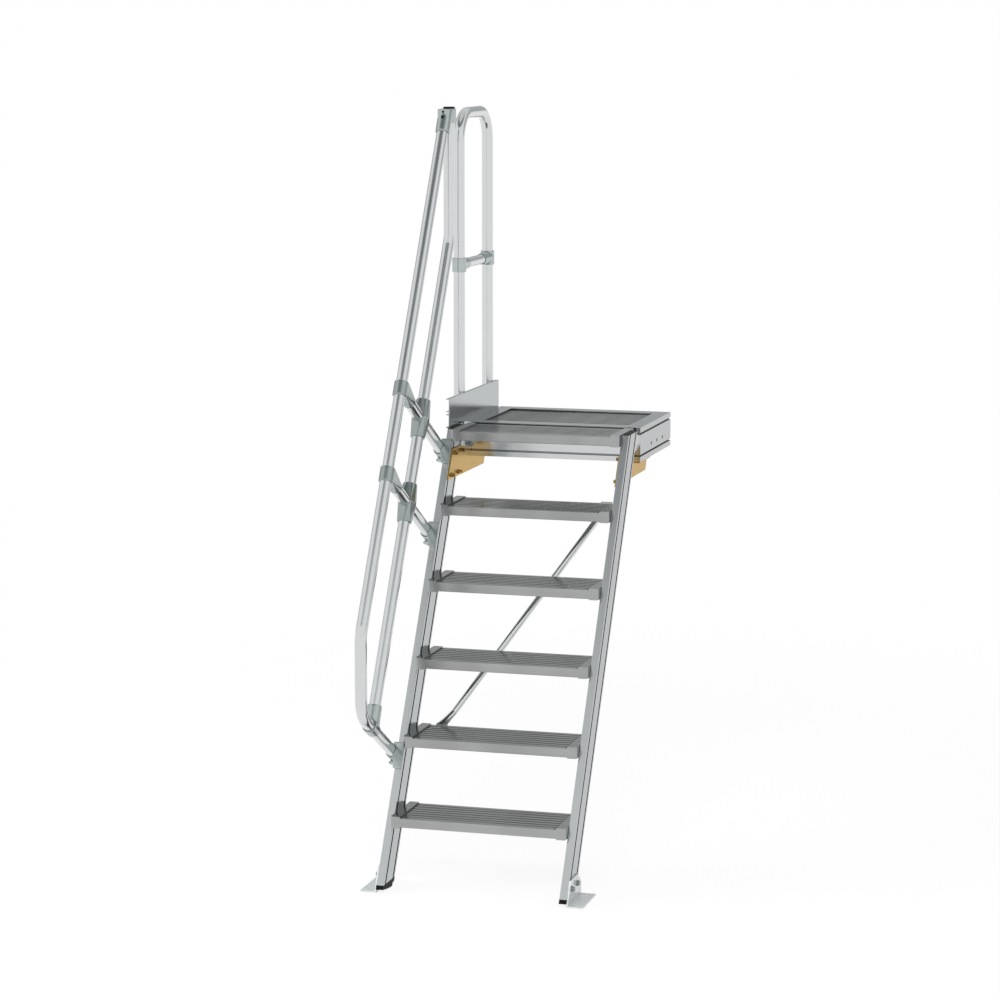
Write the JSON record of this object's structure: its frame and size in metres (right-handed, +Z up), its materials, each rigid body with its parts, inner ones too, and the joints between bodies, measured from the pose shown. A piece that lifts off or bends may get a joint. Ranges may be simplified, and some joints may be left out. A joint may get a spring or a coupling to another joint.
{
  "type": "aluminium stair",
  "caption": "Steep open aluminium stair with ribbed treads, a small platform, a tube handrail on one side and a guard loop, held at the platform's rear and on the floor.",
  "frame": {"origin": "middle of the platform's flat rear face, where the stair is held", "axes": "+Y up the stair and out of the rear face, +Z up, +X to the right of a person going up"},
  "size_m": [0.759, 1.5598, 2.5431],
  "materials": {
    "extruded_aluminium": "smooth mill finish",
    "ribbed_aluminium": "ribbed, dull",
    "tube_aluminium": "smooth drawn tube",
    "cast_aluminium": "fine cast surface",
    "yellow_zinc_steel": "yellow zinc plating",
    "galvanised_steel": "galvanised",
    "black_plastic": "moulded, matt"
  },
  "bodies": {
    "root": {"diagonal_brace": "tube_aluminium", "guard_front_clamp": "cast_aluminium", "guard_front_saddle": "cast_aluminium", "guard_knee_bar": "tube_aluminium", "guard_loop": "tube_aluminium", "guard_rear_clamp": "cast_aluminium", "guard_rear_saddle": "cast_aluminium", "handrail": "tube_aluminium", "knee_foot": "cast_aluminium", "knee_rail": "tube_aluminium", "left_floor_angle": "galvanised_steel", "left_foot_cap": "black_plastic", "left_platform_gusset": "yellow_zinc_steel", "left_stile": "extruded_aluminium", "left_top_cap": "black_plastic", "lower_stile_bracket": "cast_aluminium", "middle_handrail_tee": "cast_aluminium", "middle_inner_spindle": "tube_aluminium", "middle_knee_cross": "cast_aluminium", "middle_outer_spindle": "tube_aluminium", "middle_stile_bracket": "cast_aluminium", "platform_deck": "ribbed_aluminium", "platform_front_beam": "extruded_aluminium", "platform_left_beam": "extruded_aluminium", "platform_rear_beam": "extruded_aluminium", "platform_right_beam": "extruded_aluminium", "right_floor_angle": "galvanised_steel", "right_foot_cap": "black_plastic", "right_platform_gusset": "yellow_zinc_steel", "right_stile": "extruded_aluminium", "right_top_cap": "black_plastic", "toe_board": "extruded_aluminium", "top_joint": "cast_aluminium", "top_plug": "black_plastic", "tread_1": "ribbed_aluminium", "tread_2": "ribbed_aluminium", "tread_3": "ribbed_aluminium", "tread_4": "ribbed_aluminium", "tread_5": "ribbed_aluminium", "tread_6": "ribbed_aluminium", "upper_handrail_tee": "cast_aluminium", "upper_inner_spindle": "tube_aluminium", "upper_knee_cross": "cast_aluminium", "upper_outer_spindle": "tube_aluminium", "upper_stile_bracket": "cast_aluminium"}
  },
  "joints": []
}
